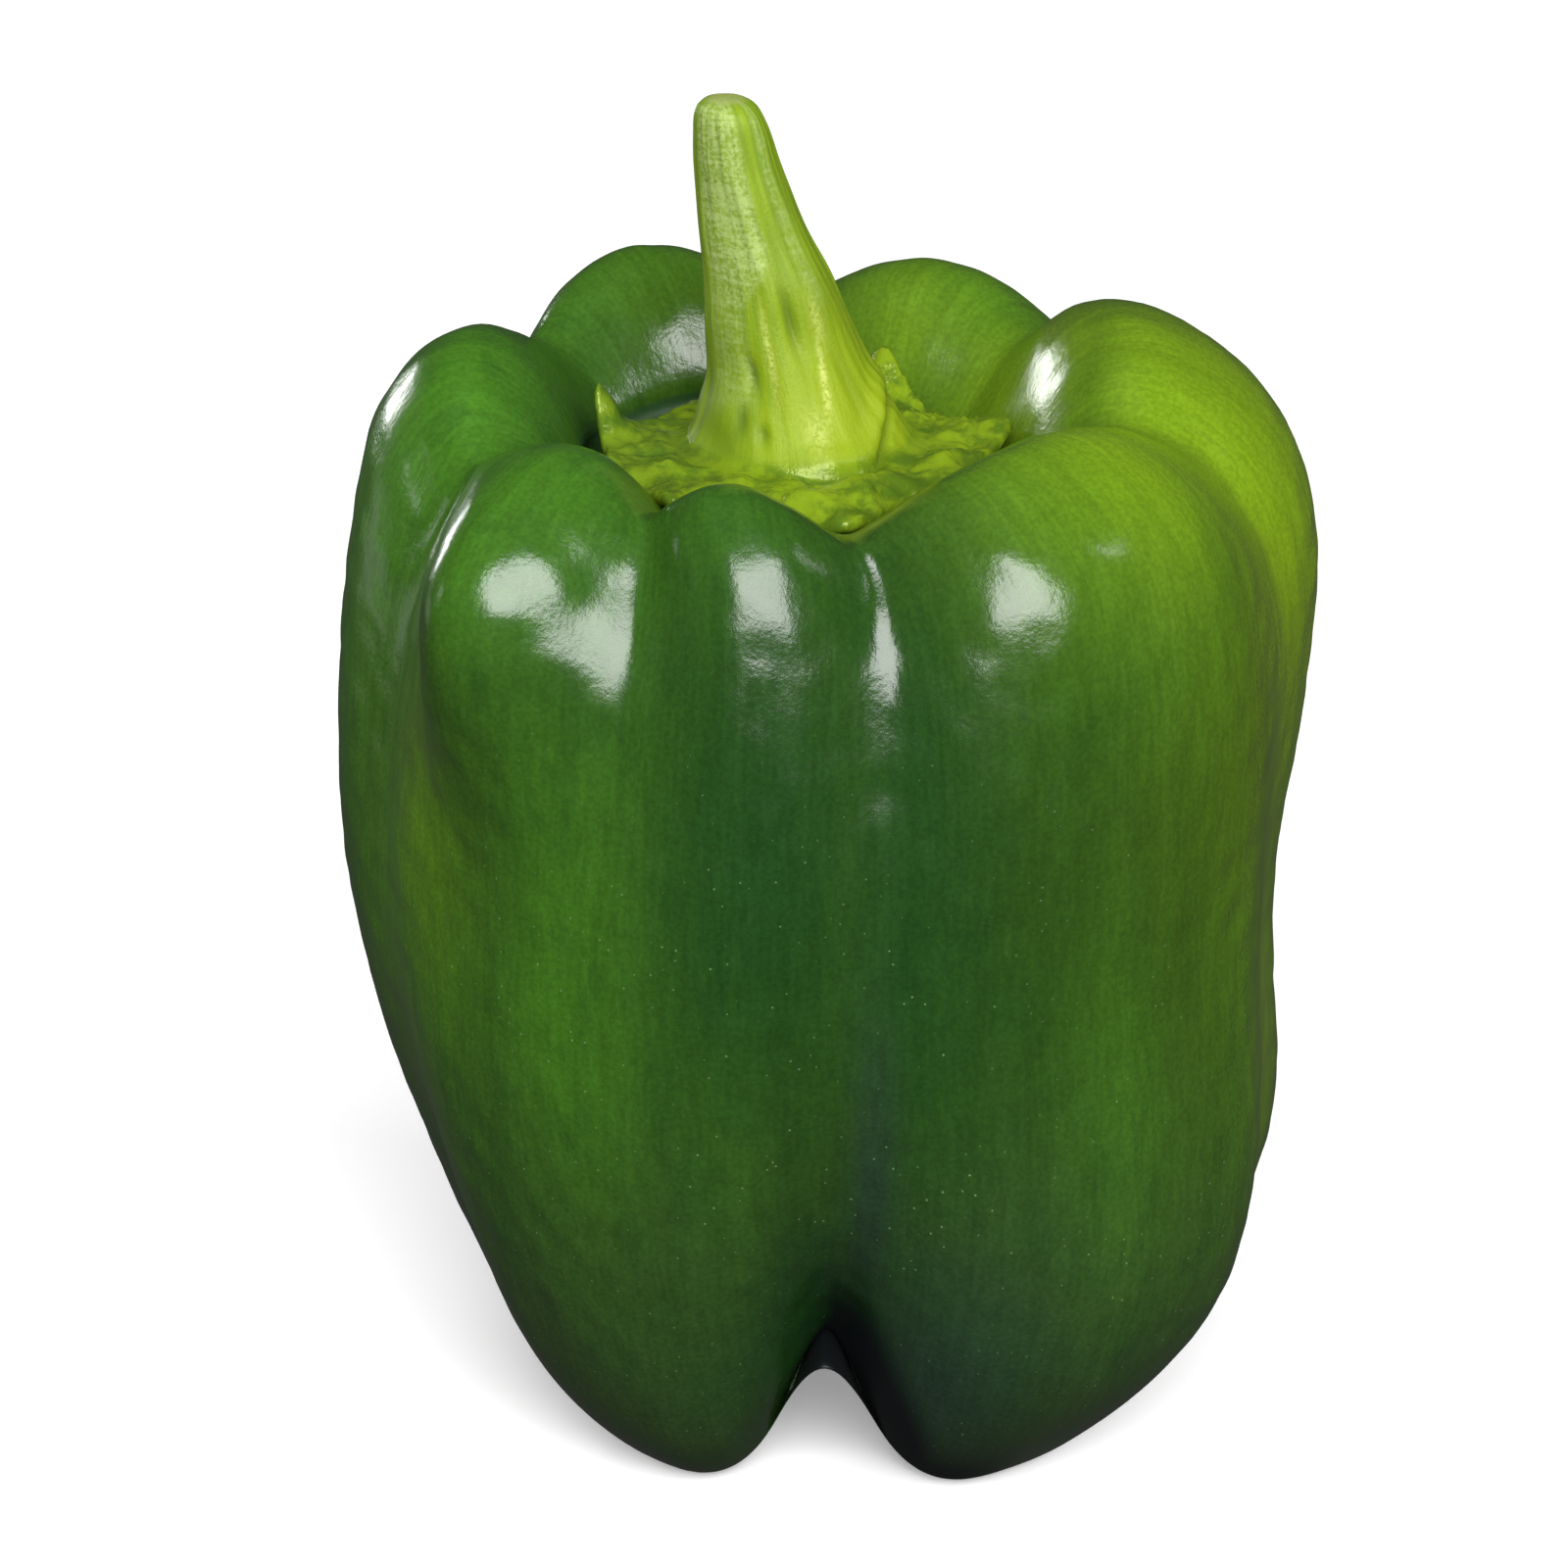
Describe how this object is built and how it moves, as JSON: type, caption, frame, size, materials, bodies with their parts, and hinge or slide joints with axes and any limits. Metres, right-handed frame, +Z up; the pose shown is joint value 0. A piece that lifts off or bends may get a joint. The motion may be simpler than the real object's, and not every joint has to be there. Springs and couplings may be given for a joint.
{
  "type": "bell pepper",
  "caption": "Blocky green bell pepper with deep lobes, standing on its own feet, with a sunken calyx and a leaning cut stem.",
  "frame": {"origin": "on the surface that the pepper stands on, under the middle of its outline", "axes": "+Z up along the core, +X to the right and -Y towards the viewer in the picture"},
  "size_m": [0.0881, 0.0813, 0.1236],
  "materials": {
    "skin": "glossy waxy skin, deep green with lighter green on the shoulders",
    "stem": "matte yellow-green, ridged, with a pale dusty facet"
  },
  "bodies": {
    "root": {"fruit": "skin", "stem_and_calyx": "stem"}
  },
  "joints": []
}
